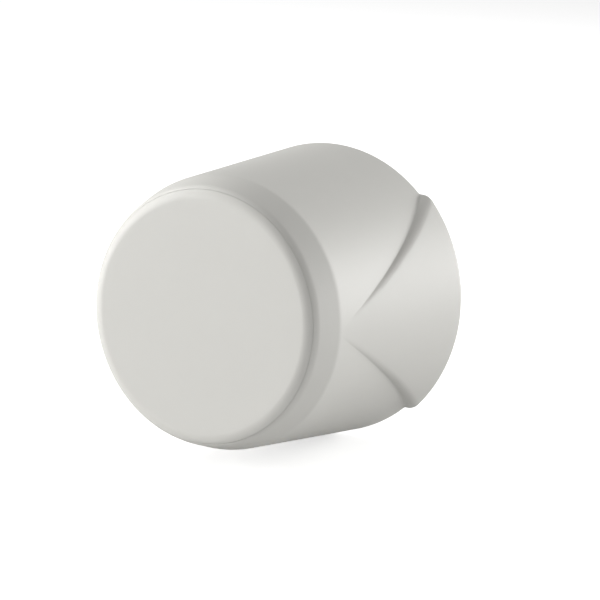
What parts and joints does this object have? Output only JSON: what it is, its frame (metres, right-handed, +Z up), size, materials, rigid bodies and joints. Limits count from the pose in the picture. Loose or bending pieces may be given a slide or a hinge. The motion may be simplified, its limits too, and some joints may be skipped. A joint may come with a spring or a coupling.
{
  "type": "push-fit end cap",
  "caption": "Push-fit end cap for pipe: blind socket with seal and steel grab ring, and a flared outer grip shell that turns to drive a release collar.",
  "frame": {"origin": "on the pipe's axis where the pipe's end seats, at the inner end of the guide bore", "axes": "+Y along the pipe's axis out of the mouth, +Z up, the grip leaves at +X and -X"},
  "size_m": [0.0422, 0.0326, 0.0402],
  "materials": {
    "grip_shell": "fine matt moulded, warm light grey",
    "end_cover": "fine matt moulded, warm light grey",
    "pressure_body": "moulded, mid grey",
    "seal_rubber": "black, satin",
    "acetal_ring": "natural acetal, satin",
    "spring_steel": "bright stamped steel",
    "retaining_ring": "moulded, dark grey",
    "release_collar": "moulded, light grey"
  },
  "bodies": {
    "body": {"pressure_body": "pressure_body", "end_cover": "end_cover", "seal_ring": "seal_rubber", "seal_protector": "acetal_ring", "grab_ring": "spring_steel", "clamp_ring": "acetal_ring", "retaining_ring": "retaining_ring", "snap_ring": "spring_steel"},
    "shell": {"grip_shell": "grip_shell"},
    "collar": {"release_collar": "release_collar"}
  },
  "joints": [
    {"name": "shell_turn", "type": "hinge", "parent": "body", "child": "shell", "pos_m": [0, 0, 0], "axis": [0, 1, 0], "range_deg": [0, 45]},
    {"name": "collar_slide", "type": "slide", "parent": "body", "child": "collar", "axis": [0, 1, 0], "range_m": [-0.0016, 0]}
  ],
  "couplings": [
    {"joint": "collar_slide", "follows": "shell_turn", "m_per_rad": -0.002037}
  ]
}
